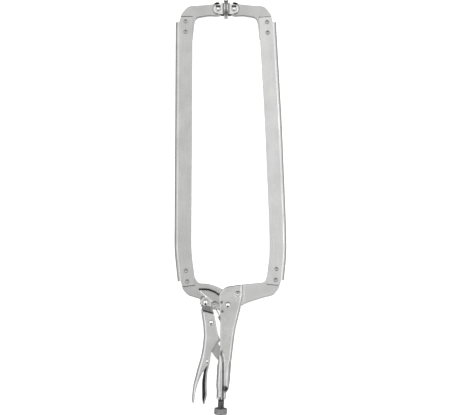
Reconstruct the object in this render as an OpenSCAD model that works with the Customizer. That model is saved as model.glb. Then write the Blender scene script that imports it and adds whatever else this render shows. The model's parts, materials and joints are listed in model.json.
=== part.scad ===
// Long-reach locking C clamp with swivel pads, lying on its side with its jaws closed.
// +Y points from the handles to the pads, +X to the fixed arm and +Z up.
// Every outline is drawn round the main pivot; the clamp is then moved onto its origin.

/* [Arms] */
// Distance from the main pivot to the line on which the pads meet
reach = 426; // [400:1:520]
// Width of an arm channel, from its back to its open edge
arm_w = 24; // [22:0.5:26]
// Sheet thickness of the arm channels
arm_sheet = 2; // [1.5:0.1:2.4]
// Outside radius of the channels' bends
arm_bend = 5; // [3:0.1:5]

/* [Jaws] */
// Thickness of the forged jaws at the arms
jaw_t = 12; // [11:0.5:14]
// Thickness of the recessed web between the handle cheeks
web_t = 10; // [8:0.5:10]
// Thickness of the jaw noses inside the pad clevises
nose_t = 9; // [7:0.5:9]

/* [Pads] */
// Diameter of a contact pad
pad_d = 27.4; // [22:0.2:30]
// Thickness of a contact pad
pad_t = 2.8; // [2:0.1:3]
// Distance from the contact plane to the pad's swivel rivet
pad_pivot = 11.4; // [11:0.1:12]

/* [Handles] */
// Sheet thickness of the fixed handle
handle_sheet = 2.5; // [2:0.1:3]
// Sheet thickness of the lever
lever_sheet = 2; // [1.5:0.1:2.4]
// Thickness of the toggle link
link_t = 8; // [6:0.5:8]

/* [Adjusting screw] */
// Thread diameter
thread_d = 9.5; // [8:0.1:10]
// Thread pitch
thread_pitch = 1.6; // [1:0.1:2]
// Diameter of the knurled knob
knob_d = 18.8; // [16:0.2:22]
// Length of the knurled knob
knob_l = 10.4; // [8:0.2:11]

/* [Spring] */
// Outside diameter of the return spring's coil
coil_d = 6.4; // [5:0.1:7]
// Wire diameter of the return spring
wire_d = 1.1; // [0.8:0.1:1.2]

/* [Hidden] */
$fn = 64;
corner_steps = 5;
run_gap = 0.05;        // radial clearance of a pin that turns in its hole
seat_gap = 0.02;       // radial clearance of a pin that is set in its hole
side_gap = 0.15;       // gap beside a part that turns between two cheeks
bend_trim = 0.02;      // how far a channel's long bends lie inside its straight runs
contact_x = -2.5;      // the plane in which the pads meet
pad_space = 0.1;       // half the gap left between the closed pads

// Pivots, as [x, y] from the main pivot
jaw_pin = [0, 0];
lever_pin = [-32.2, 3.6];
link_pin = [-24.1, -25.1];
release_pin = [-29.6, -81.1];
jaw_weld_rivet = [14.3, 16];
hook_hole = [-19.3, -1.4];
spring_lug = [4.3, -47];

// Rivets, as [shaft radius, head radius, head height]
main_rivet = [3.6, 4.3, 2.4];
lever_rivet = [3.6, 4.6, 2.4];
link_rivet = [3, 4, 2.2];
release_rivet = [2, 2.9, 1.6];
pad_rivet = [2.4, 3.8, 2.4];
flush_r = 3.2;         // radius of the flush rivets in the arms

arm_half = jaw_t / 2 + arm_sheet;
cheek_in = web_t / 2 + side_gap;
cheek_out = cheek_in + handle_sheet;
ear_out = cheek_in + lever_sheet;
lever_in = link_t / 2 + 0.3;
lever_out = lever_in + lever_sheet;
clevis_in = nose_t / 2 + side_gap;
clevis_out = clevis_in + 1.9;
boss_r = 12;           // round boss of the moving jaw at the main pivot
ear_r = 8;             // round ear of the lever at its pivot
ear_recess_r = 9.6;    // round recess in the moving jaw, in which the ears turn
tube_half = 8.7;       // half thickness of the handle's rolled end
open_end_y = -86;      // the handle is open towards the lever above this line

// Adjusting screw, measured along its own line from a point in the collar
collar_at = [-9.3, -130];
screw_lean = 2.7;
collar_r = 7;
tip_s = -45;
rod_end_s = 18.5;
nub_l = 0.7;

// Rivets through the arm channels, as [x, y]
fixed_lower = [[70, 52.2], [68.8, 36.6]];
fixed_upper = [[56.4, reach - 18.8], [57.3, reach - 34]];
moving_lower = [[-60, 49.6], [-58.3, 34.5]];
moving_upper = [[-60.6, reach - 17.7], [-60.8, reach - 32.7]];

// Backs of the arm channels, as [x, y, bend radius] from the top down
fixed_back = [
    [68.9, reach - 11], [77.6, 266, 3000], [84.3, 106, 900], [84.4, 72, 220], [80.1, 28.3]
];
moving_back = [[-75, reach - 11.2], [-76.9, 78, 250], [-71.4, 26.5]];

// The origin is under the middle of the closed clamp, at its lowest point
left_edge = -76.6;
right_edge = 84.2;
knob_end = collar_at.y - (rod_end_s + knob_l + nub_l) * cos(screw_lean);
top_edge = reach + pad_d / 2;
origin = [(left_edge + right_edge) / 2, (knob_end + top_edge) / 2, -pad_d / 2];

steel = [0.78, 0.78, 0.79];
pale = [0.85, 0.85, 0.86];
bright = [0.92, 0.92, 0.93];
dark = [0.32, 0.33, 0.34];
grey = [0.52, 0.53, 0.54];

// ---- Outlines ----

function dir(a) = [cos(a), sin(a)];
function unit(v) = v / norm(v);
function arc(c, r, a0, a1, n = 16) = [for (i = [0:n]) c + r * dir(a0 + (a1 - a0) * i / n)];
function heading(a, b) = atan2(b.y - a.y, b.x - a.x);
function mirrored(pts) = [for (p = pts) [-p.x, p.y, p[2]]];

// The points of one corner b between a and c, rounded with radius r or what its edges leave room for
function corner(a, b, c, r) =
    let (u = unit(a - b), w = unit(c - b), half = acos(u * w) / 2)
    let (leg = min(r / tan(half), 0.48 * min(norm(a - b), norm(c - b))), fit = leg * tan(half))
    let (m = b + unit(u + w) * fit / sin(half))
    let (s0 = b + u * leg - m, s1 = b + w * leg - m)
    let (a0 = atan2(s0.y, s0.x), turn = (atan2(s1.y, s1.x) - a0 + 540) % 360 - 180)
    [for (i = [0:corner_steps]) m + fit * dir(a0 + turn * i / corner_steps)];

// An outline whose corners are given as [x, y, radius], or [x, y] where they stay as they are
function rounded(pts) = [
    for (i = [0:len(pts) - 1])
        let (n = len(pts), a = pts[(i + n - 1) % n], b = pts[i], c = pts[(i + 1) % n])
        each b[2] == undef || b[2] == 0
            ? [[b.x, b.y]]
            : corner([a.x, a.y], [b.x, b.y], [c.x, c.y], b[2])
];

module plate(t, pts) {
    linear_extrude(t, center = true)
        polygon(pts);
}

module pin(at, r, half) {
    translate([at.x, at.y, -half])
        cylinder(r = r, h = 2 * half);
}

module below(y) {
    translate([-100, y - 200, -30])
        cube([200, 200, 60]);
}

module above(y) {
    translate([-100, y, -30])
        cube([200, 200, 60]);
}

// A domed head, standing on the plane z = base
module dome(at, r, h, base) {
    ball = (r * r + h * h) / (2 * h);
    intersection() {
        translate([at.x, at.y, base + h - ball])
            sphere(r = ball);
        translate([at.x, at.y, base])
            cylinder(r = r, h = h + 1);
    }
}

module rivet(at, size, half) {
    pin(at, size[0], half);
    dome(at, size[1], size[2], half);
    mirror([0, 0, 1])
        dome(at, size[1], size[2], half);
}

// A rivet hammered flush with both flanges, with a shallow dimple in each end
module flush_rivet(at, half) {
    difference() {
        pin(at, flush_r, half);
        for (side = [-1, 1])
            translate([at.x, at.y, side * (half + 2.2)])
                sphere(r = 3.4);
    }
}

module placed() {
    translate(-origin)
        children();
}

module screw_frame() {
    translate([collar_at.x, collar_at.y, 0])
        rotate([0, 0, -screw_lean])
            rotate([90, 0, 0])
                children();
}

// ---- Arms ----

// The channel's section, with its skins trimmed by t
module channel_section(t) {
    bend_in = max(arm_bend - arm_sheet, 0.2);
    h = arm_half - t;
    w = arm_w - t;
    in_h = jaw_t / 2 + t;
    in_w = arm_sheet - t;
    back = [[t, -h, arm_bend], [w, -h], [w, h], [t, h, arm_bend]];
    inside = [[in_w, -in_h, bend_in], [w + 1, -in_h], [w + 1, in_h], [in_w, in_h, bend_in]];
    difference() {
        polygon(rounded(back));
        polygon(rounded(inside));
    }
}

// The back and its bends stop short of the channel's end, and the flanges are cut at a slant
module end_notch() {
    deep = 7.2;
    shallow = 5;
    l = 7.6;
    plate(40, [[-1, 1], [deep, 1], [deep, 0], [shallow, -l], [-1, -l]]);
}

// One straight run of channel, with its back on the line from a to b
module channel_run(a, b, cut_a, cut_b) {
    l = norm(b - a);
    translate([a.x, a.y, 0])
        rotate([0, 0, heading(a, b) + 90])
            difference() {
                rotate([90, 0, 0])
                    linear_extrude(l)
                        channel_section(0);
                if (cut_a)
                    end_notch();
                if (cut_b)
                    translate([0, -l, 0])
                        mirror([0, 1, 0])
                            end_notch();
            }
}

// The long bend that joins two runs; its back starts at a, heads along h and turns through turn
module channel_bend(a, h, turn, r) {
    c = a + r * dir(h + 90);
    translate([c.x, c.y, 0])
        rotate([0, 0, h - 90])
            rotate_extrude(angle = turn, $fn = 2880)
                translate([r, 0])
                    mirror([1, 0])
                        channel_section(bend_trim);
}

// Runs and bends along the channel's back, given as [x, y, bend radius] from the top down.
// The runs lap over the bends' ends, so that they join into one solid.
module channel(back, rivets) {
    lap = 1;
    last = len(back) - 2;
    flat_back = [for (p = back) [p.x, p.y]];
    heads = [for (i = [0:last]) heading(flat_back[i], flat_back[i + 1])];
    legs = [
        for (i = [0:last + 1])
            i == 0 || i > last ? 0 : back[i][2] * tan((heads[i] - heads[i - 1]) / 2)
    ];
    difference() {
        union() {
            for (i = [0:last])
                channel_run(
                    flat_back[i] + (legs[i] - (i == 0 ? 0 : lap)) * dir(heads[i]),
                    flat_back[i + 1] - (legs[i + 1] - (i == last ? 0 : lap)) * dir(heads[i]),
                    i == 0,
                    i == last
                );
            for (i = [1:last])
                channel_bend(
                    flat_back[i] - legs[i] * dir(heads[i - 1]),
                    heads[i - 1],
                    heads[i] - heads[i - 1],
                    back[i][2]
                );
        }
        for (p = rivets)
            pin(p, flush_r + seat_gap, 20);
    }
}

module fixed_arm_channel() {
    color(pale)
        placed()
            mirror([1, 0, 0])
                channel(mirrored(fixed_back), mirrored(concat(fixed_lower, fixed_upper)));
}

module moving_arm_channel() {
    color(steel)
        placed()
            channel(moving_back, concat(moving_lower, moving_upper));
}

module arm_rivets(places) {
    color(steel)
        placed()
            for (p = places)
                flush_rivet(p, arm_half);
}

module fixed_arm_lower_rivets() {
    arm_rivets(fixed_lower);
}

module fixed_arm_upper_rivets() {
    arm_rivets(fixed_upper);
}

module moving_arm_lower_rivets() {
    arm_rivets(moving_lower);
}

module moving_arm_upper_rivets() {
    arm_rivets(moving_upper);
}

// ---- Forged jaws ----

// A jaw tip, drawn from the contact plane (x = 0) and the pads' line (y = 0)
module jaw_tip(rivets) {
    tip = [
        [6.6, 3.2, 2.5], [10.6, 10.9, 2.5], [15, 9.4, 8], [20, 6.9, 12], [36, 5.4, 60],
        [55, 4.6, 13], [64.6, -7, 12], [67.6, -20, 20], [68.4, -43.6, 1.5],
        [48.4, -43.6, 1.5], [46, -21, 14], [43.4, -12.4, 14], [24, -9.2, 40],
        [15, -9.9, 12], [9.8, -9.9, 2.5], [6.6, -4.5, 2.5]
    ];
    recess = [[-1, -20], [pad_pivot + 1, -20], [pad_pivot + 1, 20], [-1, 20]];
    recess_r = 8;
    difference() {
        union() {
            plate(nose_t, rounded(tip));
            difference() {
                plate(jaw_t, rounded(tip));
                plate(jaw_t + 2, recess);
                pin([pad_pivot, 0], recess_r, jaw_t);
            }
        }
        pin([pad_pivot, 0], pad_rivet[0] + seat_gap, 20);
        for (p = rivets)
            pin(p, flush_r + seat_gap, 20);
    }
}

module at_fixed_pad() {
    translate([contact_x, reach, 0])
        children();
}

module at_moving_pad() {
    translate([contact_x, reach, 0])
        mirror([1, 0, 0])
            children();
}

module fixed_jaw_tip() {
    color(steel)
        placed()
            at_fixed_pad()
                jaw_tip([for (p = fixed_upper) p - [contact_x, reach]]);
}

module moving_jaw_tip() {
    color(steel)
        placed()
            at_moving_pad()
                jaw_tip([for (p = moving_upper) [contact_x - p.x, p.y - reach]]);
}

module fixed_jaw_root() {
    boss_gap = 0.5;
    shoulder_x = 23.4;
    root = rounded(concat(
        [
            [20, -1], [27, 3.2, 12], [50, 10.4, 80], [66, 14.4, 12], [73.4, 24, 12],
            [76.4, 34, 20], [77.9, 59.5, 1.5], [58.8, 59.5, 1.5], [57.4, 47, 20],
            [54.4, 32.4, 7], [36, 30.6, 60], [22.2, 29.4], [10, 28.2, 20], [1.5, 25, 2]
        ],
        arc(jaw_pin, boss_r + boss_gap, 80, -18)
    ));
    outside = [[shoulder_x, -20], [120, -20], [120, 90], [shoulder_x, 90]];
    color(pale)
        placed()
            difference() {
                union() {
                    plate(web_t, root);
                    intersection() {
                        plate(jaw_t, root);
                        plate(jaw_t + 2, outside);
                    }
                }
                pin(jaw_weld_rivet, flush_r + seat_gap, 20);
                for (p = fixed_lower)
                    pin(p, flush_r + seat_gap, 20);
            }
}

module moving_jaw_root() {
    tab_half = 2;
    root = rounded(concat(
        arc(jaw_pin, boss_r, -135, 100, 24),
        [
            [-5, 21, 3], [-19, 27.6, 30], [-30, 30.6, 60], [-42.5, 30.6, 8],
            [-48, 40, 20], [-50.6, 60, 1.5], [-70.2, 60, 1.5], [-67.6, 34, 20],
            [-65, 22.5, 12], [-57.5, 14.2, 12], [-40.2, 9]
        ],
        arc(lever_pin, 7, 165, 285, 12),
        [[-24.6, -1.5, 3], [-24.4, -6.4, 4], [-14.6, -6.6, 4]]
    ));
    // The raised rim ends where the handle's cheeks begin; the lever's ears turn in a round recess
    web = rounded([
        [-12.6, 60], [20, 60], [20, -30], [-30, -30], [-30, 10.5],
        [-41.8, 19.6], [-41.2, 23, 1.5], [-26, 22.6, 60], [-12.6, 14.6]
    ]);
    color(steel)
        placed()
            difference() {
                union() {
                    plate(web_t, root);
                    difference() {
                        plate(jaw_t, root);
                        plate(jaw_t + 2, web);
                        pin(lever_pin, ear_recess_r, 20);
                    }
                }
                pin(jaw_pin, main_rivet[0] + run_gap, 20);
                pin(lever_pin, lever_rivet[0] + seat_gap, 20);
                pin(hook_hole, 1.5, 20);
                for (side = [0, 1])
                    mirror([0, 0, side])
                        translate([hook_hole.x, hook_hole.y, tab_half])
                            cylinder(r = 6.4, h = 20);
                for (p = moving_lower)
                    pin(p, flush_r + seat_gap, 20);
            }
}

// ---- Swivel pads ----

module pad_clevis() {
    ear = 6.4;
    back_x = pad_space + pad_t;
    base_x = back_x + 2.4;
    side = rounded(concat(
        [[back_x, 8.8, 0.8], [back_x, -8.8, 0.8], [base_x + 0.6, -8.8, 0.8]],
        arc([pad_pivot, 0], ear, -80, 80),
        [[base_x + 0.6, 8.8, 0.8]]
    ));
    difference() {
        plate(2 * clevis_out, side);
        translate([base_x, -20, -clevis_in])
            cube([40, 40, 2 * clevis_in]);
        pin([pad_pivot, 0], pad_rivet[0] + run_gap, 20);
    }
}

module pad_disc() {
    rim = 0.5;
    r = pad_d / 2;
    translate([pad_space, 0, 0])
        rotate([0, 90, 0])
            rotate_extrude($fn = 96)
                polygon([[0, 0], [r - rim, 0], [r, rim], [r, pad_t - rim], [r - rim, pad_t], [0, pad_t]]);
}

module fixed_pad_clevis() {
    color(bright)
        placed()
            at_fixed_pad()
                pad_clevis();
}

module moving_pad_clevis() {
    color(bright)
        placed()
            at_moving_pad()
                pad_clevis();
}

module fixed_pad_disc() {
    color(steel)
        placed()
            at_fixed_pad()
                pad_disc();
}

module moving_pad_disc() {
    color(steel)
        placed()
            at_moving_pad()
                pad_disc();
}

module fixed_pad_rivet() {
    color(bright)
        placed()
            at_fixed_pad()
                rivet([pad_pivot, 0], pad_rivet, clevis_out + run_gap);
}

module moving_pad_rivet() {
    color(bright)
        placed()
            at_moving_pad()
                rivet([pad_pivot, 0], pad_rivet, clevis_out + run_gap);
}

// ---- Fixed handle ----

// The outer line of the handle's spine, moved in by d, from the head down
function handle_spine(d) = [
    [22.4 - d, 29.4, 0], [22.2 - d, 12, 40], [17.6 - d, -8, 60], [10.2 - d, -38, 160],
    [4.9 - d, -83, 200], [3 - d, -109, 40]
];

module handle_sides() {
    polygon(rounded(concat(
        handle_spine(0),
        [
            [1.2, -121, 6], [-2.4, -126, 4], [-2.6, -134, 0], [-15.8, -134, 0], [-15.6, -126, 4],
            [-16.8, -117, 8], [-15.1, -84, 30], [-11, -60, 20], [-10.8, -18, 24], [-12.3, 4, 14],
            [-12.3, 16.5, 8], [-4, 26, 16]
        ]
    )));
}

module rolled_section(r, t) {
    translate([1.8, 0, 0])
        rotate([90, 0, 0])
            linear_extrude(60, center = true)
                polygon(rounded([[-11.5, -t, r], [11.5, -t, r], [11.5, t, r], [-11.5, t, r]]));
}

module fixed_handle_shell() {
    hollow = rounded(concat(
        [[handle_spine(handle_sheet)[0].x, 40, 0]],
        handle_spine(handle_sheet),
        [[0.6, -117, 3], [-13.6, -117, 3], [-13.2, open_end_y, 0], [-30, open_end_y, 0], [-30, 40, 0]]
    ));
    dimples = [[-8.7, 3.2], [-7.8, -9.8]];
    lug_r = 3;
    lug_half = 1.2;
    color(pale)
        placed()
            difference() {
                union() {
                    intersection() {
                        linear_extrude(2 * cheek_out, center = true)
                            handle_sides();
                        above(open_end_y + 6);
                    }
                    intersection() {
                        linear_extrude(2 * tube_half, center = true)
                            handle_sides();
                        below(open_end_y + 6);
                        translate([collar_at.x, -107, 0])
                            rotate([0, 0, -screw_lean])
                                rolled_section(tube_half - 1, tube_half);
                    }
                    screw_frame()
                        translate([0, 0, -6])
                            cylinder(r = collar_r, h = 12);
                    pin(spring_lug, lug_r, lug_half);
                }
                difference() {
                    plate(2 * cheek_in, hollow);
                    pin(spring_lug, lug_r, lug_half);
                    translate([spring_lug.x, spring_lug.y - lug_r, -lug_half])
                        cube([8, 2 * lug_r, 2 * lug_half]);
                }
                translate([12, -2.8, -cheek_in])
                    cube([20, 60, 2 * cheek_in]);
                screw_frame()
                    translate([0, 0, -30])
                        cylinder(r = thread_d / 2 + run_gap, h = 60);
                pin(spring_lug, 1.3, 2);
                pin(jaw_pin, main_rivet[0] + seat_gap, 20);
                pin(jaw_weld_rivet, flush_r + seat_gap, 20);
                for (p = dimples, side = [-1, 1])
                    translate([p.x, p.y, side * (cheek_out + 1.3)])
                        sphere(r = 2.2);
            }
}

module main_pivot_rivet() {
    color(bright)
        placed()
            rivet(jaw_pin, main_rivet, cheek_out + run_gap);
}

module jaw_root_rivet() {
    color(steel)
        placed()
            flush_rivet(jaw_weld_rivet, cheek_out);
}

// ---- Lever, link and release ----

// Everything above the slanted joggle, at which the lever's cheeks step in from its ears
module above_joggle(shift) {
    translate([-30, -7.6 + shift, 0])
        rotate([0, 0, -15])
            translate([-40, 0, -30])
                cube([80, 60, 60]);
}

function lever_spine(d) = [
    [-38.1 + d, -6, 0], [-38.2 + d, -11, 20], [-35.4 + d, -30, 60], [-34.5 + d, -45, 60],
    [-37.6 + d, -71, 120], [-44.5 + d, -94, 160], [-50.2 + d, -117, 80]
];

module lever_handle() {
    body = rounded(concat(
        lever_spine(0),
        [
            [-52, -137, 30], [-50.8, -141.6, 1.2], [-48.7, -141.2, 1], [-46.4, -124, 80],
            [-41.8, -109, 60], [-36.6, -97.2, 6], [-30.6, -89, 4], [-26, -84.4, 5],
            [-23.8, -68, 6], [-13.3, -49.5, 5], [-15.4, -38, 20], [-20.8, -10, 0]
        ]
    ));
    hollow = rounded(concat(
        [[lever_spine(lever_sheet)[0].x, 0, 0]],
        lever_spine(lever_sheet),
        [[-49.6, -136, 0], [-40, -160, 0], [0, -160, 0], [0, -5, 0]]
    ));
    ear = rounded(concat(
        arc(lever_pin, ear_r, 0, 215, 24),
        [[-37.2, -3.6, 2], [-38.2, -8, 3], [-38.2, -12], [-20.4, -12], [-23.4, -4, 8]]
    ));
    color(steel)
        placed()
            difference() {
                union() {
                    plate(2 * lever_out, body);
                    intersection() {
                        plate(2 * ear_out, ear);
                        above_joggle(-1.5);
                    }
                }
                plate(2 * lever_in, hollow);
                intersection() {
                    plate(2 * cheek_in, ear);
                    above_joggle(0);
                }
                pin(lever_pin, lever_rivet[0] + run_gap, 20);
                pin(link_pin, link_rivet[0] + seat_gap, 20);
                pin(release_pin, release_rivet[0] + seat_gap, 20);
            }
}

module lever_pivot_rivet() {
    color(bright)
        placed()
            rivet(lever_pin, lever_rivet, ear_out + run_gap);
}

module link_pivot_rivet() {
    color(bright)
        placed()
            rivet(link_pin, link_rivet, lever_out);
}

module release_pivot_rivet() {
    color(bright)
        placed()
            rivet(release_pin, release_rivet, lever_out);
}

module toggle_link() {
    color(grey)
        placed()
            difference() {
                plate(link_t, rounded(concat(
                    arc(link_pin, 6.5, 15, 195),
                    [
                        [-28.6, -50, 60], [-23.4, -67.2, 3], [-15.2, -78.4, 2], [-8.6, -80, 2.6],
                        [-5, -76, 2.6], [-8.6, -62, 3], [-13.8, -57, 3], [-13.6, -54.4, 2],
                        [-10.8, -51.4, 2], [-12.6, -46.6, 4], [-16.2, -40, 10]
                    ]
                )));
                pin(link_pin, link_rivet[0] + run_gap, 20);
            }
}

module release_lever() {
    sheet = 1.7;
    half = link_t / 2 - 0.1;
    side = rounded([
        [-32.4, -72.5, 2.5], [-27.4, -72.5, 2.5], [-26, -83, 6], [-29.6, -98, 20],
        [-30.6, -114, 30], [-30.2, -131, 14], [-33.6, -142.6, 1.5], [-36, -143.6, 1.5],
        [-37, -134, 30], [-37, -110, 40], [-34, -92, 20], [-34.4, -80, 8]
    ]);
    inside = [
        [-60, -93], [-30.8, -93], [-31.8, -100], [-32.4, -114],
        [-32, -130], [-34.6, -139.5], [-36, -150], [-60, -150]
    ];
    color(grey)
        placed()
            difference() {
                plate(2 * half, side);
                plate(2 * (half - sheet), inside);
                pin(release_pin, release_rivet[0] + run_gap, 20);
            }
}

// ---- Adjusting screw ----

module adjusting_screw() {
    depth = 0.75;
    r = thread_d / 2;
    turns = floor((rod_end_s - tip_s - 2) / thread_pitch);
    start = rod_end_s - turns * thread_pitch;
    ridges = [
        for (i = [turns:-1:1])
            each [
                [r - depth, start + i * thread_pitch - 0.1],
                [r, start + (i - 0.4) * thread_pitch],
                [r, start + (i - 0.6) * thread_pitch],
                [r - depth, start + (i - 1) * thread_pitch + 0.1]
            ]
    ];
    color(dark)
        placed()
            screw_frame()
                rotate_extrude()
                    polygon(concat(
                        [[0, rod_end_s], [r - depth, rod_end_s]],
                        ridges,
                        [[r - depth, tip_s + 0.6], [r - depth - 0.6, tip_s], [0, tip_s]]
                    ));
}

module screw_knob() {
    r = knob_d / 2;
    bevel = 1.2;
    crown = 2.2;
    color(grey)
        placed()
            screw_frame()
                translate([0, 0, rod_end_s])
                    rotate_extrude($fn = 96)
                        polygon([
                            [0, 0], [r - bevel, 0], [r, bevel], [r, knob_l - crown],
                            [r - crown, knob_l], [3, knob_l], [2.4, knob_l + nub_l], [0, knob_l + nub_l]
                        ]);
}

// ---- Return spring ----

module return_spring() {
    run = spring_lug - hook_hole;
    l = norm(run);
    loop_r = 4.2;
    coil_from = 16;
    coil_to = l - 7.5;
    wire = wire_d / 2;
    color(bright)
        placed()
            translate([hook_hole.x, hook_hole.y, 0])
                rotate([0, 0, atan2(run.y, run.x)]) {
                    for (at = [loop_r, l - loop_r])
                        translate([at, 0, 0])
                            rotate([90, 0, 0])
                                rotate_extrude()
                                    translate([loop_r, 0])
                                        circle(r = wire, $fn = 24);
                    translate([2 * loop_r - wire, 0, 0])
                        rotate([0, 90, 0])
                            cylinder(r = wire, h = coil_from - 2 * loop_r + 2 * wire);
                    difference() {
                        translate([coil_from, 0, 0])
                            rotate([0, 90, 0])
                                cylinder(r = coil_d / 2, h = coil_to - coil_from);
                        translate([coil_from + wire_d, 0, 0])
                            rotate([0, 90, 0])
                                cylinder(r = coil_d / 2 - wire_d, h = coil_to - coil_from - 2 * wire_d);
                    }
                }
}

fixed_handle_shell();
fixed_jaw_root();
main_pivot_rivet();
jaw_root_rivet();
fixed_arm_channel();
fixed_arm_lower_rivets();
fixed_arm_upper_rivets();
fixed_jaw_tip();
fixed_pad_rivet();
fixed_pad_clevis();
fixed_pad_disc();
moving_jaw_root();
moving_arm_channel();
moving_arm_lower_rivets();
moving_arm_upper_rivets();
moving_jaw_tip();
moving_pad_rivet();
moving_pad_clevis();
moving_pad_disc();
lever_pivot_rivet();
lever_handle();
link_pivot_rivet();
toggle_link();
release_pivot_rivet();
release_lever();
adjusting_screw();
screw_knob();
return_spring();
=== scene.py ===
"""Looks of the long-reach locking C clamp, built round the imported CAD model.

Lengths are metres in the model's frame: +Y from the handles to the pads, +X towards the fixed arm
and +Z up. at(x, y, z) gives the point that lies that many millimetres from the main pivot.
"""
import json
import math

import bmesh
import bpy
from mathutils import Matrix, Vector
from mathutils.bvhtree import BVHTree


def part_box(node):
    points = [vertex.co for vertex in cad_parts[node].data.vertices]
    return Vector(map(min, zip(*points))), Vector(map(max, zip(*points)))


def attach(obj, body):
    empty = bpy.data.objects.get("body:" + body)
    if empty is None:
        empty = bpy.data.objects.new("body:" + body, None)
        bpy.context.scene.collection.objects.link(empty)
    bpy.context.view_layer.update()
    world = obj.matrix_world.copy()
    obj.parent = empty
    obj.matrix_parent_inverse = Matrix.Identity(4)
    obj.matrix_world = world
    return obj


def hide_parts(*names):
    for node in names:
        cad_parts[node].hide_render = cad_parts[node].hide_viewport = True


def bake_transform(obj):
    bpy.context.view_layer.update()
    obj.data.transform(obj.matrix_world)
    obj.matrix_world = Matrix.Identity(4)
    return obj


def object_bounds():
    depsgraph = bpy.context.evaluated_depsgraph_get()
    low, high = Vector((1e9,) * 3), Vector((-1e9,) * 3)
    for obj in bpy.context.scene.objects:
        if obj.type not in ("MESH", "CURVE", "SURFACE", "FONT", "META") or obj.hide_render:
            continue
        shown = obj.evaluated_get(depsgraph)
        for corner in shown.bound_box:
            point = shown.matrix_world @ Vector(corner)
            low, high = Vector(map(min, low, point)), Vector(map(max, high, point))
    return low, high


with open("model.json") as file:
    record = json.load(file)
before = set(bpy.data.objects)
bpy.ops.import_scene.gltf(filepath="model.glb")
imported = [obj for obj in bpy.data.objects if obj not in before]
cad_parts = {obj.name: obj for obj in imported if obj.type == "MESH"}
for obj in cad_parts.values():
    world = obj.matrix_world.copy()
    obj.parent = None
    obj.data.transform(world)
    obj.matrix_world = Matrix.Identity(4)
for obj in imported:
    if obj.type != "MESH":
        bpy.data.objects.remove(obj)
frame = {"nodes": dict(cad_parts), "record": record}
cad_low, cad_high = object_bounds()

MM = 0.001
WELD = 0.03 * MM
JAW_VOXEL = 0.5 * MM
HANDLE_VOXEL = 0.55 * MM
LEVER_VOXEL = 0.5 * MM
SMALL_VOXEL = 0.4 * MM
CLEVIS_VOXEL = 0.3 * MM
SHARP_ANGLE = 42
# Material slots for faces given painted shade and a painted highlight.
SHADE_FACE, HIGHLIGHT_FACE = 1, 2
RECORD = frame["record"]
BODY_OF = {n: body for body, nodes in RECORD["behaviour"]["bodies"].items() for n in nodes}
JOINT = {joint["name"]: joint for joint in RECORD["behaviour"]["joints"]}
MAIN = Vector(JOINT["jaw_pivot"]["pos_m"])
OUT = Vector(JOINT["screw_travel"]["axis"])
TURN_RATIO = next(c["ratio"] for c in RECORD["behaviour"]["couplings"] if c["joint"] == "screw_turn")


def at(x, y, z=0.0):
    """The point x, y, z millimetres from the main pivot."""
    return MAIN + Vector((x, y, z)) * MM


def local(point):
    """A point of the frame as millimetres from the main pivot."""
    return (point - MAIN) / MM


def smooth(low, high, value):
    """0 at low, 1 at high and beyond, and a smooth step between them; high may be below low."""
    t = min(1.0, max(0.0, (value - low) / (high - low)))
    return t * t * (3 - 2 * t)


# ---- Materials ----


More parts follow.
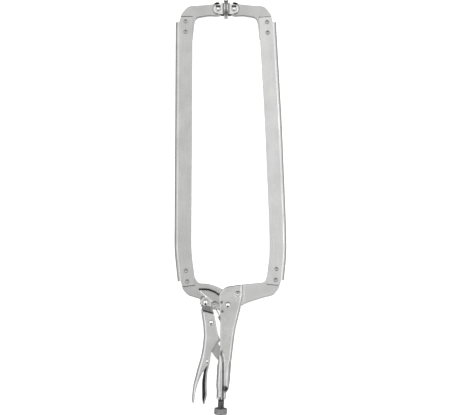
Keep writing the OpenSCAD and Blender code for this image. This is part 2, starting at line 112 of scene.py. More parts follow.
class Surface:
    """A metal's node tree, with one short call for each kind of node."""

    def __init__(self, name, metallic=1.0):
        self.material = bpy.data.materials.new(name)
        self.material.use_nodes = True
        self.tree = self.material.node_tree
        self.shader = self.tree.nodes["Principled BSDF"]
        self.shader.inputs["Metallic"].default_value = metallic
        self.place = self.add("ShaderNodeTexCoord").outputs["Object"]

    def add(self, kind, **settings):
        """A new node with its settings."""
        node = self.tree.nodes.new(kind)
        for key, value in settings.items():
            setattr(node, key, value)
        return node

    def feed(self, socket, value):
        """Links a socket to another, or sets its own value."""
        if isinstance(value, bpy.types.NodeSocket):
            self.tree.links.new(value, socket)
        else:
            socket.default_value = value

    def noise(self, scale, stretch=(1, 1, 1), detail=4.0, turn=0.0):
        """Noise in cycles per metre, finer along the axes that stretch makes larger."""
        turned = self.add("ShaderNodeMapping")
        turned.inputs["Rotation"].default_value = (0, 0, math.radians(turn))
        self.feed(turned.inputs["Vector"], self.place)
        mapping = self.add("ShaderNodeMapping")
        mapping.inputs["Scale"].default_value = stretch
        self.feed(mapping.inputs["Vector"], turned.outputs["Vector"])
        noise = self.add("ShaderNodeTexNoise")
        noise.inputs["Scale"].default_value = scale
        noise.inputs["Detail"].default_value = detail
        self.feed(noise.inputs["Vector"], mapping.outputs["Vector"])
        return noise.outputs["Fac"]

    def spread(self, value, low, high, to_low=0.0, to_high=1.0):
        """value from low..high moved to to_low..to_high and held there."""
        node = self.add("ShaderNodeMapRange", interpolation_type="SMOOTHSTEP")
        self.feed(node.inputs["Value"], value)
        for key, number in (("From Min", low), ("From Max", high), ("To Min", to_low), ("To Max", to_high)):
            node.inputs[key].default_value = number
        return node.outputs["Result"]

    def calc(self, operation, a, b):
        """One step of arithmetic on two sockets or numbers."""
        node = self.add("ShaderNodeMath", operation=operation)
        self.feed(node.inputs[0], a)
        self.feed(node.inputs[1], b)
        return node.outputs["Value"]

    def mix(self, factor, a, b):
        """Colour a where factor is 0 and colour b where it is 1."""
        node = self.add("ShaderNodeMix", data_type="RGBA")
        self.feed(node.inputs["Factor"], factor)
        for socket, colour in ((node.inputs[6], a), (node.inputs[7], b)):
            self.feed(socket, colour if isinstance(colour, bpy.types.NodeSocket) else (*colour, 1.0))
        return node.outputs[2]

    def axis(self, direction, start):
        """Millimetres along a direction from a point, both in the frame."""
        shifted = self.add("ShaderNodeVectorMath", operation="SUBTRACT")
        self.feed(shifted.inputs[0], self.place)
        shifted.inputs[1].default_value = start
        dot = self.add("ShaderNodeVectorMath", operation="DOT_PRODUCT")
        self.feed(dot.inputs[0], shifted.outputs["Vector"])
        dot.inputs[1].default_value = Vector(direction) / MM
        return dot.outputs["Value"]

    def bump(self, height, strength, depth):
        """A bumped normal; depth is in metres."""
        node = self.add("ShaderNodeBump")
        node.inputs["Strength"].default_value = strength
        node.inputs["Distance"].default_value = depth
        self.feed(node.inputs["Height"], height)
        return node.outputs["Normal"]

    def finish(self, colour, roughness, normal):
        """Joins the three results to the shader and returns the material."""
        self.feed(self.shader.inputs["Base Color"], colour)
        self.feed(self.shader.inputs["Roughness"], roughness)
        self.feed(self.shader.inputs["Normal"], normal)
        return self.material


BAND_SHADE_GREY = 0.22


def grey(level):
    """A nickel grey, very slightly warm."""
    return (level, level * 0.997, level * 0.99)


def satin(
    name, level, rough, stretch=(1, 1, 1), turn=0.0, grain=1500, relief=0.12,
    lumps=0.0, mottle=0.05, shade_band=None,
):
    """Satin nickel: fine grain or brushing, cloudy tone, and rub marks in its gloss.

    The band argument, if given, is a direction, a point and a width in millimetres: a band of
    painted shade that starts at the point and runs across the direction.
    """
    s = Surface(name)
    clouds = s.noise(38, detail=3.0)
    fine = s.noise(grain, stretch, detail=3.0, turn=turn)
    rub_marks_and_highlight = s.noise(150, (1, 0.25, 1), detail=5.0, turn=turn)
    tone = s.spread(s.calc("ADD", s.calc("MULTIPLY", clouds, 0.6), s.calc("MULTIPLY", fine, 0.4)), 0.3, 0.7)
    colour = s.mix(tone, grey(level * (1 - mottle)), grey(level * (1 + mottle * 0.6)))
    specks = s.spread(s.noise(700, detail=2.0), 0.66, 0.74, 0.0, 0.35)
    colour = s.mix(specks, colour, grey(level * 0.7))
    # A band of painted shade with a ragged edge.
    if shade_band:
        direction, point, width = shade_band
        band_noise = s.noise(520, detail=4.0)
        along = s.calc("ADD", s.axis(direction, point), s.spread(band_noise, 0.3, 0.7, -0.8, 0.8))
        band = s.calc("MULTIPLY", s.spread(along, 0.0, 0.8), s.spread(along, width, width - 1.6))
        band = s.calc("MULTIPLY", band, s.spread(band_noise, 0.4, 0.6, 0.75, 0.97))
        colour = s.mix(band, colour, grey(BAND_SHADE_GREY))
    roughness = s.spread(rub_marks_and_highlight, 0.35, 0.65, rough - 0.05, rough + 0.07)
    height = fine
    if lumps:
        height = s.calc("ADD", s.calc("MULTIPLY", s.noise(190, detail=3.0), lumps), fine)
    return s.finish(colour, roughness, s.bump(height, relief, 0.06 * MM))


def painted_highlight(name, level, rough):
    """A painted highlight: metal brighter and smoother than the faces it lies on, with small nicks."""
    s = Surface(name)
    nicks = s.spread(s.noise(420, detail=4.0), 0.52, 0.66)
    colour = s.mix(nicks, grey(level), grey(level * 0.82))
    roughness = s.spread(s.noise(260), 0.35, 0.65, rough - 0.04, rough + 0.08)
    return s.finish(colour, roughness, s.bump(s.noise(900), 0.1, 0.05 * MM))


def polished(name, level, rough):
    """A bright rivet head or a bright plated part, with hairlines."""
    s = Surface(name)
    hair = s.spread(s.noise(700, (1, 6, 1), detail=2.0, turn=35), 0.6, 0.7)
    colour = s.mix(hair, grey(level), grey(level * 0.93))
    roughness = s.spread(s.noise(300), 0.35, 0.65, rough, rough + 0.05)
    return s.finish(colour, roughness, s.bump(hair, 0.04, 0.02 * MM))


def oiled(name, level, rough):
    """Dark steel with a film of oil and dust that lies in patches."""
    s = Surface(name, metallic=0.85)
    film = s.spread(s.noise(240, detail=5.0), 0.4, 0.62)
    colour = s.mix(film, grey(level), grey(level * 0.5))
    worn = s.spread(s.noise(900, detail=2.0), 0.58, 0.7, 0.0, 0.6)
    colour = s.mix(worn, colour, grey(level * 1.9))
    roughness = s.spread(film, 0.0, 1.0, rough, rough + 0.2)
    return s.finish(colour, roughness, s.bump(s.noise(1600), 0.15, 0.04 * MM))


ARM = satin("arm_satin", 0.78, 0.30, (1, 0.03, 1), grain=900, relief=0.1, mottle=0.08)
# The moving arm gets a darker copy of the arm satin: painted shade, so it reads darker than the fixed arm.
ARM_PAINTED_SHADE = satin("arm_satin_painted_shade", 0.65, 0.30, (1, 0.03, 1), grain=900, relief=0.1, mottle=0.1)
JAW = satin("forged_satin", 0.61, 0.34, grain=1300, relief=0.2, lumps=2.0, mottle=0.12)
# A lighter copy of the forged satin: painted light on the fixed jaw's root and its rivet.
JAW_PAINTED_LIGHT = satin("forged_satin_painted_light", 0.74, 0.34, grain=1300, relief=0.2, lumps=2.0, mottle=0.1)
HANDLE = satin("handle_satin", 0.72, 0.28, (1, 0.2, 1), turn=30, grain=1400, relief=0.1, mottle=0.16)
# The lever's band is painted shade below its pivot, where the cheeks step out.
LEVER = satin(
    "lever_satin", 0.70, 0.28, (1, 0.12, 1), turn=-12, grain=1200, relief=0.1, mottle=0.16,
    shade_band=((-0.184, -0.983, 0), at(-37.2, 0.8), 9.0),
)
SHADED = satin("handle_shaded", 0.34, 0.42, grain=1800, relief=0.1, mottle=0.15)
LINK = satin("link_satin", 0.52, 0.38, (1, 0.2, 1), turn=10, relief=0.18, mottle=0.1)
PAD = satin("pad_satin", 0.66, 0.30, (1, 1, 0.2), relief=0.12)
# A painted highlight, laid on the moving jaw's ridge.
RIDGE_HIGHLIGHT = painted_highlight("ridge_painted_highlight", 0.88, 0.2)
RIVET = polished("rivet_polished", 0.9, 0.06)
CLEVIS = polished("clevis_bright", 0.88, 0.12)
FLUSH = satin("flush_rivet_satin", 0.5, 0.28, grain=1600, relief=0.2)
# Near-black painted shade for grooves, hollows and the corners where parts meet, with the oiled-steel look.
SHADE_PAINT_BLACK = oiled("painted_shade_black", 0.05, 0.5)
THREAD = oiled("thread_oiled", 0.22, 0.32)
KNOB = satin("knob_satin", 0.40, 0.34, grain=1500, relief=0.2, mottle=0.12)
SPRING = polished("spring_wire", 0.62, 0.2)


# ---- Mesh helpers ----


def welded(node):
    """A copy of a CAD node as a bmesh, its split vertices welded and its flat faces merged."""
    bm = bmesh.new()
    bm.from_mesh(frame["nodes"][node].data)
    bmesh.ops.remove_doubles(bm, verts=bm.verts, dist=WELD)
    bmesh.ops.dissolve_degenerate(bm, dist=WELD / 10, edges=bm.edges)
    bmesh.ops.dissolve_limit(bm, angle_limit=math.radians(0.08), verts=bm.verts, edges=bm.edges)
    for face in bm.faces:
        face.material_index = 0
    return bm


def rounded_copy(node, voxel, passes):
    """A CAD node as an even mesh, its edges rounded by as many smoothing passes."""
    bm = welded(node)
    mesh = bpy.data.meshes.new("source")
    bm.to_mesh(mesh)
    bm.free()
    obj = bpy.data.objects.new("source", mesh)
    bpy.context.scene.collection.objects.link(obj)
    remesh = obj.modifiers.new("even", "REMESH")
    remesh.mode = "VOXEL"
    remesh.voxel_size = voxel
    relax = obj.modifiers.new("relax", "SMOOTH")
    relax.factor = 0.5
    relax.iterations = passes
    evaluated = obj.evaluated_get(bpy.context.evaluated_depsgraph_get())
    bm = bmesh.new()
    bm.from_mesh(evaluated.to_mesh())
    bpy.data.objects.remove(obj)
    return bm


def edge_line(node, side, step=1.0):
    """The outermost x of a CAD node on one side, as a function of y, both in millimetres."""
    mesh = frame["nodes"][node].data
    points = [local(vert.co) for vert in mesh.vertices]
    found = {}
    for edge in mesh.edges:
        low, high = sorted((points[i] for i in edge.vertices), key=lambda p: p.y)
        for key in range(math.ceil(low.y / step), math.floor(high.y / step) + 1):
            rise = high.y - low.y
            x = low.x + (high.x - low.x) * ((key * step - low.y) / rise if rise else 0)
            found[key] = max(found.get(key, -math.inf), x * side)
    first, last = min(found), max(found)
    near = range(-2, 3)
    even = {
        key: sum(found[min(max(key + i, first), last)] for i in near) / len(near)
        for key in range(first, last + 1)
    }

    def line(y):
        k = min(max(y / step, first), last)
        low = min(int(math.floor(k)), last - 1)
        return side * (even[low] + (even[low + 1] - even[low]) * (k - low))

    return line


def round_spine(bm, line, side, radius, half):
    """Rolls the corners along the spine into arcs; radius and half are functions of y."""
    reach = 3
    for vert in bm.verts:
        p = local(vert.co)
        r, h = radius(p.y), half(p.y)
        slope = (line(p.y + reach) - line(p.y - reach)) / (2 * reach)
        lean = 1 / math.sqrt(1 + slope * slope)
        depth = (line(p.y) - p.x) * side * lean
        u, v = r - depth, abs(p.z) - (h - r)
        if u > 0 and v > 0 and math.hypot(u, v) > r:
            scale = r / math.hypot(u, v)
            new_depth = r - u * scale
            p.x = line(p.y) - side * new_depth / lean
            p.z = math.copysign(h - r + v * scale, p.z)
            vert.co = at(p.x, p.y, p.z)
    for _ in range(2):
        bmesh.ops.smooth_vert(
            bm, verts=bm.verts, factor=0.5, use_axis_x=True, use_axis_y=True, use_axis_z=True
        )


def piece(name, bm, node, materials, angle=SHARP_ANGLE):
    """A finished piece that stands for a CAD node and rides on its body."""
    mesh = bpy.data.meshes.new(name)
    bmesh.ops.recalc_face_normals(bm, faces=bm.faces)
    bmesh.ops.triangulate(bm, faces=[f for f in bm.faces if len(f.verts) > 4])
    for face in bm.faces:
        face.smooth = True
    bm.to_mesh(mesh)
    bm.free()
    mesh.set_sharp_from_angle(angle=math.radians(angle))
    for material in materials:
        mesh.materials.append(material)
    obj = bpy.data.objects.new(name, mesh)
    bpy.context.scene.collection.objects.link(obj)
    weighted = obj.modifiers.new("weighted", "WEIGHTED_NORMAL")
    weighted.keep_sharp = True
    if node != "return_spring":
        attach(obj, BODY_OF[node])
    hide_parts(node)
    return obj


def repaint(node, material, edge=0.0):
    """Keeps a CAD node and gives it a material and, if edge is more than 0, rounded edges."""
    obj = frame["nodes"][node]
    obj.data.materials.clear()
    obj.data.materials.append(material)
    for polygon in obj.data.polygons:
        polygon.material_index = 0
    weld = obj.modifiers.new("weld", "WELD")
    weld.merge_threshold = WELD / 3
    if edge:
        rim = obj.modifiers.new("rim", "BEVEL")
        rim.width = edge
        rim.segments = 2
        rim.limit_method = "ANGLE"
        rim.angle_limit = math.radians(50)
    normals = obj.modifiers.new("normals", "WEIGHTED_NORMAL")
    normals.keep_sharp = True


def tube(bm, rings, closed_ends=True):
    """Joins rings of points, each as long as the others, into a tube."""
    rows = [[bm.verts.new(point) for point in ring] for ring in rings]
    count = len(rows[0])
    for low, high in zip(rows, rows[1:]):
        for i in range(count):
            j = (i + 1) % count
            bm.faces.new((low[i], low[j], high[j], high[i]))
    if closed_ends:
        bm.faces.new(rows[0][::-1])
        bm.faces.new(rows[-1])
    return rows


def ring_round(centre, axis, radius, count, start=0.0):
    """Points round an axis; radius is a number or a function of the angle."""
    side = axis.orthogonal().normalized()
    other = axis.cross(side)
    points = []
    for i in range(count):
        angle = 2 * math.pi * i / count + start
        r = radius(angle) if callable(radius) else radius
        points.append(centre + (side * math.cos(angle) + other * math.sin(angle)) * r)
    return points


def wire(bm, path, radius, sides=10):
    """A round wire along a path, with its section carried along without a twist."""
    points = [Vector(p) for p in path]
    last = len(points) - 1
    side = (points[1] - points[0]).orthogonal().normalized()
    rings = []
    for i, point in enumerate(points):
        ahead = (points[min(i + 1, last)] - points[max(i - 1, 0)]).normalized()
        side = (side - ahead * side.dot(ahead)).normalized()
        other = ahead.cross(side)
        rings.append([
            point + (side * math.cos(a) + other * math.sin(a)) * radius
            for a in (2 * math.pi * k / sides for k in range(sides))
        ])
    tube(bm, rings)


# ---- Arms and jaws ----


def distance_to(path, x, y):
    """The distance from x, y to a line through points, in millimetres."""
    best = math.inf
    for (ax, ay), (bx, by) in zip(path, path[1:]):
        dx, dy = bx - ax, by - ay
        t = min(1.0, max(0.0, ((x - ax) * dx + (y - ay) * dy) / (dx * dx + dy * dy)))
        best = min(best, math.hypot(ax + dx * t - x, ay + dy * t - y))
    return best


def groove(bm, path, width, depth, reach):
    """Cuts a round-bottomed groove into both sides along a path and gives it the second material as painted
    shade.
    """
    for vert in bm.verts:
        p = local(vert.co)
        if abs(p.z) > reach:
            gap = distance_to(path, p.x, p.y) / width
            if gap < 1:
                vert.co.z -= math.copysign(depth * (1 - gap * gap) * MM, p.z)
    # Painted shade along the groove.
    for face in bm.faces:
        p = local(face.calc_center_median())
        if abs(p.z) > reach - depth and distance_to(path, p.x, p.y) < 0.8 * width:
            face.material_index = SHADE_FACE


def shade(bm, test, index=SHADE_FACE):
    """Gives a material to the faces whose centre passes a test: painted shade unless another index is
    given.
    """
    for face in bm.faces:
        if test(local(face.calc_center_median())):
            face.material_index = index


def arm_end_shade(bm, arm):
    """Painted shade on a jaw, in the corner at the end of the arm that is riveted over it."""
    mesh = frame["nodes"][arm].data
    tree = BVHTree.FromPolygons([v.co for v in mesh.vertices], [p.vertices for p in mesh.polygons])

    def beside_end(p):
        nearest = tree.find_nearest(at(*p), 1.0 * MM)[0]
        if nearest is None:
            return False
        away = at(*p) - nearest
        return abs(away.y) > 1.5 * abs(away.x)

    shade(bm, beside_end)


def forging(node):
    """A drop-forged jaw with rounded rims and painted shade where the arm ends on it.

    The moving jaw's root also has a groove under its rim, a lower web and a painted highlight along the
    web's edge.
    """
    side = node.split("_")[0]
    bm = rounded_copy(node, JAW_VOXEL, 4)
    arm_end_shade(bm, side + "_arm_channel")
    if node == "moving_jaw_root":
        rim = [(-41.0, 22.6), (-34.0, 22.9), (-26.0, 21.9), (-19.0, 18.9), (-13.6, 15.2)]
        ridge = Vector((-42.0, 20.6)), Vector((-27.0, 8.6))
        run = (ridge[1] - ridge[0]).normalized()
        web_drop = 0.65
        for vert in bm.verts:
            p = local(vert.co)
            if abs(p.z) > 4 and p.y > 4 and distance_to(rim, p.x, p.y) > 1.3:
                past = run.x * (p.y - ridge[0].y) - run.y * (p.x - ridge[0].x)
                under = p.y < 23.4 - 0.012 * max(0.0, p.x + 38) ** 2
                if under and p.x > -43:
                    drop = web_drop * smooth(-1.3, 1.3, past) * smooth(-43, -38, p.x)
                    vert.co.z -= math.copysign(drop * MM, p.z)
        groove(bm, rim, width=1.3, depth=1.3, reach=4.6)
        # A painted highlight on the lit slope where the web steps down.
        rub_marks_and_highlight = [(-39.5, 18.6), (-28.5, 9.8)]
        shade(bm, lambda p: abs(p.z) > 4 and distance_to(rub_marks_and_highlight, p.x, p.y) < 0.8, HIGHLIGHT_FACE)
    if node.endswith("tip"):
        low, high = (Vector(corner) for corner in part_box(side + "_pad_disc"))
        pad = local((low + high) / 2)
        # Painted shade in the shelf over the clevis.
        shade(bm, lambda p: p.y - pad.y > 6.6 and abs(p.x - pad.x) < 15)
    piece(node + "_forged", bm, node, [JAW_PAINTED_LIGHT if node == "fixed_jaw_root" else JAW, SHADE_PAINT_BLACK, RIDGE_HIGHLIGHT])


def pad_clevis(side, facing):
    """The pressed clevis: a back plate with a step behind the pad, and two hollowed ears."""
    node = side + "_pad_clevis"
    bm = rounded_copy(node, CLEVIS_VOXEL, 2)
    low, high = (local(Vector(corner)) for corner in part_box(side + "_pad_disc"))
    centre = (low + high) / 2
    back = low.x if facing > 0 else high.x
    step_depth, hollow_depth = 1.0, 1.6

    def place(p):
        """How far a point is behind the pad, and how far above its middle."""
        return (back - p.x) * facing, p.y - centre.y

    for vert in bm.verts:
        p = local(vert.co)
        past, rise = place(p)
        step = step_depth * smooth(0.4, 0.9, past) * smooth(2.6, 1.9, past)
        hollow = hollow_depth * smooth(5.0, 5.6, past) * smooth(12, 11.2, past)
        hollow *= smooth(1.9, 2.6, rise) * smooth(5.4, 4.8, rise)
        if abs(p.z) > 3 and step + hollow:
            vert.co.z -= math.copysign(max(step, hollow) * MM, p.z)
    # Painted shade in the step behind the pad and along the clevis's lower edge, and in the upper part of
    # each ear's hollow.
    shade(bm, lambda p: 0.9 < place(p)[0] < 1.9 or place(p)[1] < -7.4)
    shade(bm, lambda p: 5.2 < place(p)[0] < 11.6 and 2.2 < place(p)[1] < 4.9)
    piece(node + "_pressing", bm, node, [CLEVIS, SHADE_PAINT_BLACK])


def release_lever():
    """The release lever: a thin channel, with painted shade on its hollow side and bright along its back.
    """
    node = "release_lever"
    bm = rounded_copy(node, SMALL_VOXEL, 2)
    line = edge_line(node, 1)
    # The web's outer side goes in, which leaves the back standing as a rim.
    for vert in bm.verts:
        p = local(vert.co)
        inward = smooth(2.2, 2.8, line(p.y) - p.x) * smooth(-86, -90, p.y)
        vert.co.z -= math.copysign(min(1.0, abs(p.z)) * inward * MM, p.z)
    # Painted shade on the hollow side, below the lever's head.
    shade(bm, lambda p: line(p.y) - p.x > 2.5 and p.y < -87)
    piece("release_lever_pressing", bm, node, [LINK, SHADE_PAINT_BLACK])


def toggle_link():
    """The punched link with deburred edges."""
    piece("toggle_link_forged", rounded_copy("toggle_link", SMALL_VOXEL, 3), "toggle_link", [LINK])


# ---- Handles ----


def fixed_handle():
    """The pressed handle: a rounded spine, a rolled tube for the screw, and a crease between them."""
    node = "fixed_handle_shell"
    bm = rounded_copy(node, HANDLE_VOXEL, 2)

    def crease(y):
        """The crease's x at a height, in millimetres."""
        return -6.9 - 0.7 * smooth(-112, -134, y) - 2.2 * smooth(-84, -70, y)

    def half(y):
        """Half the handle's thickness at a height, in millimetres."""
        return 7.65 + 1.05 * smooth(-76, -94, y)

    lobe_drop, crease_depth = 3.4, 2.0
    for vert in bm.verts:
        p = local(vert.co)
        limit = half(p.y)
        if p.x > crease(p.y):
            limit -= lobe_drop * smooth(-115, -124, p.y)
        if p.y < -70 and abs(p.z) > limit:
            vert.co.z = at(0, 0, math.copysign(limit, p.z)).z
    round_spine(bm, edge_line(node, 1), 1, lambda y: 4.6, half)
    round_spine(bm, edge_line(node, -1), -1, lambda y: 0.8 + 4.6 * smooth(-62, -84, y), half)
    for vert in bm.verts:
        p = local(vert.co)
        if abs(p.z) < 4.4 or p.y > -60:
            continue
        width = 1.4 + 0.9 * smooth(-84, -70, p.y)
        dip = crease_depth * smooth(-64, -78, p.y) * math.exp(-((p.x - crease(p.y)) / width) ** 2)
        vert.co.z -= math.copysign(dip * MM, p.z)
    # Painted shade in the crease, in the step where the lobe ends, at the crease's head, and in two
    # dimples.
    shade(bm, lambda p: abs(p.z) > 3 and p.y < -70 and abs(p.x - crease(p.y)) < 0.9)
    shade(bm, lambda p: abs(p.z) > 3 and p.x > crease(p.y) and abs(p.y + 122.5 - 0.25 * p.x) < 2.2)
    shade(bm, lambda p: abs(p.z) > 3 and math.hypot(p.x + 9.5, (p.y + 71) / 2) < 1.5)
    for x, y in ((-8.7, 3.2), (-7.8, -9.8)):
        shade(bm, lambda p: abs(p.z) > 4 and math.hypot(p.x - x, p.y - y) < 1.9)
    piece("fixed_handle_pressing", bm, node, [HANDLE, SHADED])


def lever_handle():
    """The pressed lever with its rounded spine."""
    node = "lever_handle"
    bm = rounded_copy(node, LEVER_VOXEL, 2)
    round_spine(
        bm, edge_line(node, -1), -1,
        lambda y: 4.8 - 1.0 * smooth(-92, -132, y) - 2.4 * smooth(-12, -4, y),
        lambda y: 6.3 + 0.85 * smooth(-10, -6, y),
    )
    piece("lever_handle_pressing", bm, node, [LEVER])


# ---- Screw, knob, spring and pads ----


SCREW_END = 18.5


def screw_axis(distance):
    """A point on the screw's line, in millimetres outwards from the pivot of its knob joint."""
    return Vector(JOINT["screw_turn"]["pos_m"]) + OUT * distance * MM


def adjusting_screw():
    """The screw with a real right-hand helical thread."""
    radius = 4.75
    depth = 0.75
    pitch = 2 * math.pi / TURN_RATIO / MM
    tip, end = -45.0, SCREW_END
    rings_per_turn, sides = 8, 40
    steps = round((end - tip) / pitch * rings_per_turn)
    rings = []
    for i in range(steps + 1):
        s = tip + (end - tip) * i / steps
        fade = smooth(tip + 1, tip + 4, s)

        def profile(angle, s=s, fade=fade):
            phase = (s / pitch - angle / (2 * math.pi)) % 1.0
            ridge = smooth(0.05, 0.4, phase) * (1 - smooth(0.6, 0.95, phase))
            return (radius - depth + depth * ridge * fade) * MM

        rings.append(ring_round(screw_axis(s), OUT, profile, sides))
    bm = bmesh.new()
    tube(bm, rings)
    piece("adjusting_screw_threaded", bm, "adjusting_screw", [THREAD], angle=80)


def screw_knob():
    """The knob with a diamond knurl between two plain chamfers."""
    radius = 9.4
    bevel_s, crown, length, nub = 1.2, 2.2, 10.4, 0.7
    teeth, knurl_depth = 32, 0.6
    sides = teeth * 6
    body_rings = 24
    profile = [(0.02, radius - bevel_s), (bevel_s, radius)]
    for i in range(1, body_rings + 1):
        profile.append((bevel_s + (length - crown - bevel_s) * i / body_rings, radius))
    profile += [(length - crown * 0.5, radius - crown * 0.42), (length, radius - crown)]
    profile += [(length, 3.0), (length + nub, 2.4), (length + nub, 0.4)]
    rings = []
    for s, r in profile:
        knurled = smooth(bevel_s, bevel_s + 0.8, s) * (1 - smooth(length - crown - 0.8, length - crown, s))

        def shape(angle, s=s, r=r, knurled=knurled):
            twist = s / radius
            a = abs(math.sin((angle + twist) * teeth / 2))
            b = abs(math.sin((angle - twist) * teeth / 2))
            return (r - knurl_depth * knurled * (1 - min(a, b) ** 0.8)) * MM

        rings.append(ring_round(screw_axis(SCREW_END + s), OUT, shape, sides))
    bm = bmesh.new()
    tube(bm, rings)
    piece("screw_knob_knurled", bm, "screw_knob", [KNOB], angle=60)


def return_spring():
    """A close-wound tension spring whose end loops pass through the jaw and the handle's lug."""
    jaw_end = at(-19.3, -1.4)
    lug_end = at(4.3, -47)
    run = (lug_end - jaw_end) / MM
    length = run.length
    along = run.normalized()
    up = Vector((0, 0, 1))
    across = along.cross(up)
    wire_r = 0.55
    coil_r = 3.2 - wire_r
    loop_r = 4.2
    coil_from, coil_to = 16.0, length - 7.5
    turns = round((coil_to - coil_from) / (2 * wire_r * 1.06))

    def point(s, a, b):
        return jaw_end + (along * s + up * a + across * b) * MM

    path = [
        point(loop_r - loop_r * math.cos(t), loop_r * math.sin(t), 0)
        for t in (math.radians(d) for d in range(-150, 181, 12))
    ]
    path += [point(s, 0, 0) for s in (9.5, 12.0, 14.0)]
    steps = turns * 20
    for i in range(steps + 1):
        t = i / steps
        angle = 2 * math.pi * turns * t
        r = coil_r * min(smooth(0, 0.04, t), 1 - smooth(0.96, 1.0, t))
        path.append(point(coil_from + (coil_to - coil_from) * t, r * math.sin(angle), r * math.cos(angle)))
    end = length - loop_r
    path += [
        point(end - loop_r * math.cos(t), loop_r * math.sin(t), 0)
        for t in (math.radians(d) for d in range(0, 331, 12))
    ]
    bm = bmesh.new()
    wire(bm, path, wire_r * MM, 8)
    obj = piece("return_spring_wound", bm, "return_spring", [SPRING], angle=80)
    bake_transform(obj)


def pad_disc(node, facing):
    """A turned pad with concentric grooves in its contact face and painted shade on the chamfer round it.
    """
    low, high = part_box(node)
    radius = (high.z - low.z) / 2 / MM
    thick = (high.x - low.x) / MM
    axis = Vector((facing, 0, 0))
    middle_y, middle_z = (low.y + high.y) / 2, (low.z + high.z) / 2
    back = Vector((low.x if facing > 0 else high.x, middle_y, middle_z))
    profile = [(0.0, 0.3), (0.0, radius - 0.5), (0.15, radius - 0.15), (0.5, radius)]
    profile += [(thick - 1.0, radius), (thick - 0.7, radius - 0.12), (thick, radius - 1.0)]
    groove_step, groove_depth = 1.5, 0.3
    floor_s = thick - groove_depth
    r = radius - 2.2
    while r > 2:
        profile += [(thick, r + 0.35), (floor_s, r + 0.1), (floor_s, r - 0.1), (thick, r - 0.35)]
        r -= groove_step
    profile.append((thick, 0.3))
    rings = [ring_round(back + axis * s * MM, axis, r * MM, 96) for s, r in profile]
    bm = bmesh.new()
    tube(bm, rings)
    # Painted shade on the chamfer round the contact face.
    face_x = (low.x if facing < 0 else high.x) / MM
    for face in bm.faces:
        c = face.calc_center_median()
        inset = abs(c.x / MM - face_x)
        if inset < 0.9 and math.hypot(c.y - middle_y, c.z - middle_z) > (radius - 1.1) * MM:
            face.material_index = SHADE_FACE
    piece(node + "_turned", bm, node, [PAD, SHADED], angle=30)


repaint("fixed_arm_channel", ARM)
repaint("moving_arm_channel", ARM_PAINTED_SHADE)
for jaw in ("fixed_jaw_root", "moving_jaw_root", "fixed_jaw_tip", "moving_jaw_tip"):
    forging(jaw)
fixed_handle()
lever_handle()
toggle_link()
release_lever()
pad_clevis("fixed", -1)
pad_clevis("moving", 1)
pad_disc("fixed_pad_disc", -1)
pad_disc("moving_pad_disc", 1)
adjusting_screw()
screw_knob()
return_spring()
for rivet in (
    "main_pivot_rivet", "lever_pivot_rivet", "link_pivot_rivet", "release_pivot_rivet",
    "fixed_pad_rivet", "moving_pad_rivet",
):
    repaint(rivet, RIVET)
for rivet in (
    "fixed_arm_lower_rivets", "fixed_arm_upper_rivets",
    "moving_arm_lower_rivets", "moving_arm_upper_rivets",
):
    repaint(rivet, FLUSH, 0.2 * MM)
repaint("jaw_root_rivet", JAW_PAINTED_LIGHT, 0.2 * MM)


# ---- Stage, light and camera ----


def floor():
    """A plain, nearly white floor that glows a little, so that shadows stay soft."""
    half = 4.0
    below = -0.5 * MM
    mesh = bpy.data.meshes.new("floor")
    corners = [(x * half, y * half, below) for x, y in ((-1, -1), (1, -1), (1, 1), (-1, 1))]
    mesh.from_pydata(corners, [], [(0, 1, 2, 3)])
    obj = bpy.data.objects.new("floor", mesh)
    bpy.context.scene.collection.objects.link(obj)
    paper = Surface("floor_paper", metallic=0.0)
    paper.shader.inputs["Emission Color"].default_value = (1, 1, 1, 1)
    paper.shader.inputs["Emission Strength"].default_value = 0.8
    colour = paper.mix(paper.noise(30), (0.9, 0.9, 0.9), (0.93, 0.93, 0.93))
    mesh.materials.append(paper.finish(colour, 0.9, paper.bump(paper.noise(400), 0.02, 0.1 * MM)))
    obj.visible_glossy = False


BOX_LIGHT = 0.8
OVERHEAD_LIGHT = 0.72
BEHIND_LIGHT = 0.7
SIDE_LIGHT = 0.3
FRONT_LIGHT = 0.9
LOW_LIGHT = 0.1
SOFTBOX_SIZE = (1.0, 1.6)


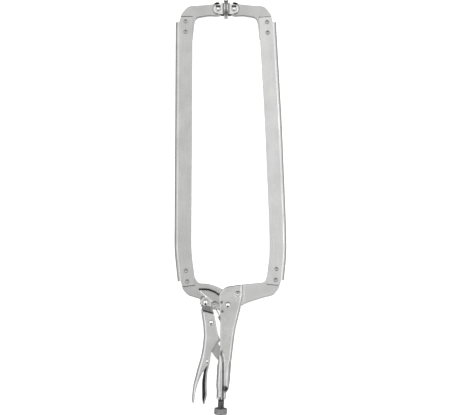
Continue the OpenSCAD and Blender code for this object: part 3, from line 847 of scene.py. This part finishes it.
def sky():
    """Soft studio light: boxes high on the left and right, a grey ceiling, and light from behind
    and from low in front."""
    world = bpy.data.worlds.new("studio")
    bpy.context.scene.world = world
    world.use_nodes = True
    tree = world.node_tree
    background = tree.nodes["Background"]
    background.inputs["Color"].default_value = (1, 1, 1, 1)
    coords = tree.nodes.new("ShaderNodeTexCoord")
    split = tree.nodes.new("ShaderNodeSeparateXYZ")
    tree.links.new(coords.outputs["Generated"], split.inputs[0])

    def fit(socket, low, high, to_low, to_high):
        node = tree.nodes.new("ShaderNodeMapRange")
        node.interpolation_type = "SMOOTHSTEP"
        tree.links.new(socket, node.inputs["Value"])
        numbers = (("From Min", low), ("From Max", high), ("To Min", to_low), ("To Max", to_high))
        for key, number in numbers:
            node.inputs[key].default_value = number
        return node.outputs["Result"]

    def calc(operation, a, b=0.0):
        node = tree.nodes.new("ShaderNodeMath")
        node.operation = operation
        for socket, value in zip(node.inputs, (a, b)):
            if isinstance(value, bpy.types.NodeSocket):
                tree.links.new(value, socket)
            else:
                socket.default_value = value
        return node.outputs["Value"]

    x, y, z = (split.outputs[key] for key in "XYZ")
    sides = fit(calc("ABSOLUTE", x), 0.2, 0.4, 0.0, 1.0)
    height = calc("MULTIPLY", fit(z, 0.5, 0.7, 0.0, 1.0), fit(z, 0.97, 0.9, 0.0, 1.0))
    ahead = fit(y, -0.5, -0.25, 0.0, 1.0)
    boxes = calc("MULTIPLY", calc("MULTIPLY", calc("MULTIPLY", sides, height), ahead), BOX_LIGHT)
    overhead = fit(z, 0.84, 0.96, 0.0, OVERHEAD_LIGHT)
    behind = calc("MULTIPLY", fit(y, 0.1, 0.6, 0.0, BEHIND_LIGHT), fit(z, 0.2, 0.5, 0.0, 1.0))
    front = calc("MULTIPLY", fit(y, -0.15, -0.6, 0.0, FRONT_LIGHT), fit(z, 0.3, 0.0, 0.0, 1.0))
    low = calc("ADD", calc("ADD", calc("MULTIPLY", sides, SIDE_LIGHT), front), LOW_LIGHT)
    level = calc("ADD", calc("ADD", boxes, overhead), calc("ADD", behind, low))
    # A black card in front gives the rivet heads their dark spot.
    card = calc("MULTIPLY", fit(y, -0.12, -0.28, 0.0, 1.0), fit(z, 0.25, 0.4, 0.0, 1.0))
    card = calc("MULTIPLY", card, fit(calc("ABSOLUTE", x), 0.42, 0.26, 0.0, 0.97))
    level = calc("MULTIPLY", level, calc("SUBTRACT", 1.0, card))
    tree.links.new(level, background.inputs["Strength"])


def softbox(name, place, size, energy):
    """A large weak lamp that is aimed at the frame's middle."""
    light = bpy.data.lights.new(name, "AREA")
    light.shape = "RECTANGLE"
    light.size, light.size_y = size
    light.energy = energy
    obj = bpy.data.objects.new(name, light)
    obj.location = place
    obj.rotation_euler = (-Vector(place)).to_track_quat("-Z", "Y").to_euler()
    bpy.context.scene.collection.objects.link(obj)


def camera():
    """Straight above the clamp, with a long lens and the clamp a little off the picture's centre."""
    shown_width = 0.6649
    distance = 2.5
    off_x, off_y = 0.1 * MM, 0.5 * MM
    data = bpy.data.cameras.new("camera")
    data.sensor_width = 36.0
    data.lens = data.sensor_width * distance / shown_width
    data.clip_end = 50.0
    obj = bpy.data.objects.new("camera", data)
    centre = (cad_low + cad_high) / 2
    obj.location = (centre.x + off_x, centre.y + off_y, centre.z + distance)
    bpy.context.scene.collection.objects.link(obj)
    bpy.context.scene.camera = obj


floor()
sky()
softbox("softbox_left", (-1.3, 0.0, 1.0), SOFTBOX_SIZE, energy=0.8)
softbox("softbox_right", (1.3, 0.0, 1.0), SOFTBOX_SIZE, energy=1.2)
camera()
bpy.context.scene.view_settings.view_transform = "Standard"
